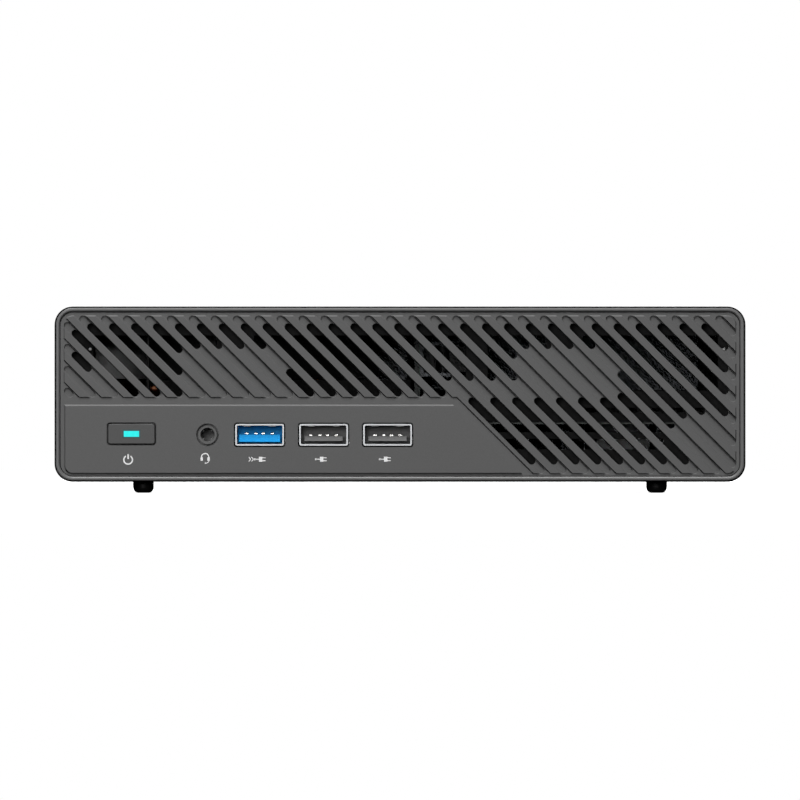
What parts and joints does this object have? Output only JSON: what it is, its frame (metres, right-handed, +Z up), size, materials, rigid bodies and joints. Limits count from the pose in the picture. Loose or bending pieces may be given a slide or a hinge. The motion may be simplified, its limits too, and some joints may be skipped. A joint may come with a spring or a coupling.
{
  "type": "mini pc",
  "caption": "Low box computer: a chassis with a diagonally slotted front, ports and fans slides out of a one-piece metal sleeve.",
  "frame": {"origin": "on the resting plane, midway between the sides and between front and rear", "axes": "+X to the right seen from the front, +Y towards the rear, +Z up"},
  "size_m": [0.189, 0.196, 0.051],
  "materials": {
    "sleeve_coat": "fine-textured dark grey powder coat",
    "bezel_plastic": "fine-textured dark grey moulding",
    "button_plastic": "satin dark grey moulding",
    "lit_lens": "lit cyan lens",
    "black_steel": "satin black coat",
    "bright_shell": "bright nickel plate",
    "plain_steel": "black-zinc-plated sheet",
    "blue_plastic": "blue moulding",
    "black_plastic": "black moulding",
    "socket_grey": "grey moulding",
    "tongue_grey": "light grey moulding",
    "white_plastic": "white moulding",
    "bright_contact": "bright plated contact",
    "black_rubber": "semi-gloss black rubber",
    "board_laminate": "dark solder mask",
    "chip_black": "moulded chip",
    "copper": "bare copper",
    "fin_aluminium": "bare aluminium",
    "black_screw": "blackened steel",
    "cable_jacket": "black jacket"
  },
  "bodies": {
    "case": {"outer_sleeve": "sleeve_coat", "rubber_feet": "black_rubber"},
    "chassis": {"front_bezel": "bezel_plastic", "front_frame": "black_steel", "bezel_screws": "black_screw", "antenna_rivets": "white_plastic", "power_switch": "black_plastic", "audio_jack": "socket_grey", "front_usb_shells": "bright_shell", "usb3_tongue": "blue_plastic", "usb2_tongues": "tongue_grey", "port_contacts": "bright_contact", "coil_heat_sink": "black_steel", "chassis_tray": "plain_steel", "glide_strips": "black_plastic", "standoffs": "plain_steel", "main_board": "board_laminate", "board_screws": "plain_steel", "board_parts": "chip_black", "processor": "chip_black", "cold_plate": "copper", "cold_plate_screws": "plain_steel", "heat_pipes": "copper", "fin_stack": "fin_aluminium", "blower_housing": "black_plastic", "ssd_fan_frame": "black_plastic", "ssd_fan_screws": "black_screw", "memory_sockets": "black_plastic", "memory_modules": "board_laminate", "ssd_sockets": "black_plastic", "ssd_modules": "board_laminate", "ssd_heat_plate": "fin_aluminium", "ssd_screws": "plain_steel", "radio_card": "board_laminate", "antennas": "black_plastic", "antenna_cables": "cable_jacket", "cable_clips": "black_plastic", "coin_cell_holder": "black_plastic", "coin_cell": "plain_steel", "riser_board": "board_laminate", "expansion_slot": "black_plastic", "latch_brackets": "plain_steel", "slot_cover": "plain_steel", "rear_panel": "black_steel", "rear_panel_screws": "black_screw", "sfp_cages": "bright_shell", "rj45_shields": "bright_shell", "rj45_bodies": "black_plastic", "rear_usb_shells": "bright_shell", "rear_port_tongues": "black_plastic", "usbc_shells": "bright_shell", "hdmi_shell": "bright_shell", "dc_socket": "black_plastic", "latch_spring": "plain_steel"},
    "button": {"power_button": "button_plastic", "button_light": "lit_lens"},
    "blower_wheel": {"blower_rotor": "black_plastic"},
    "ssd_fan_wheel": {"ssd_fan_rotor": "black_plastic"},
    "latch": {"release_latch": "button_plastic"},
    "card_latch": {"slot_latch": "black_plastic"}
  },
  "joints": [
    {"name": "chassis_slide", "type": "slide", "parent": "case", "child": "chassis", "axis": [0, -1, 0], "range_m": [0, 0.2]},
    {"name": "power_button_press", "type": "slide", "parent": "chassis", "child": "button", "axis": [0, 1, 0], "range_m": [0, 0.0005], "stiffness_N_per_m": 1500, "springref_m": -0.0004},
    {"name": "release_latch_press", "type": "slide", "parent": "chassis", "child": "latch", "axis": [0, -1, 0], "range_m": [0, 0.002], "stiffness_N_per_m": 1500, "springref_m": -0.001, "deforming": ["latch_spring"]},
    {"name": "card_latch_pivot", "type": "hinge", "parent": "chassis", "child": "card_latch", "pos_m": [0.012, -0.005, 0.0367], "axis": [0, 0, 1], "range_deg": [-60, 0]},
    {"name": "blower_spin", "type": "hinge", "parent": "chassis", "child": "blower_wheel", "pos_m": [-0.045, -0.015, 0.04], "axis": [0, 0, 1], "continuous": true},
    {"name": "ssd_fan_spin", "type": "hinge", "parent": "chassis", "child": "ssd_fan_wheel", "pos_m": [-0.018, -0.004, 0.01], "axis": [0, 0, 1], "continuous": true}
  ]
}
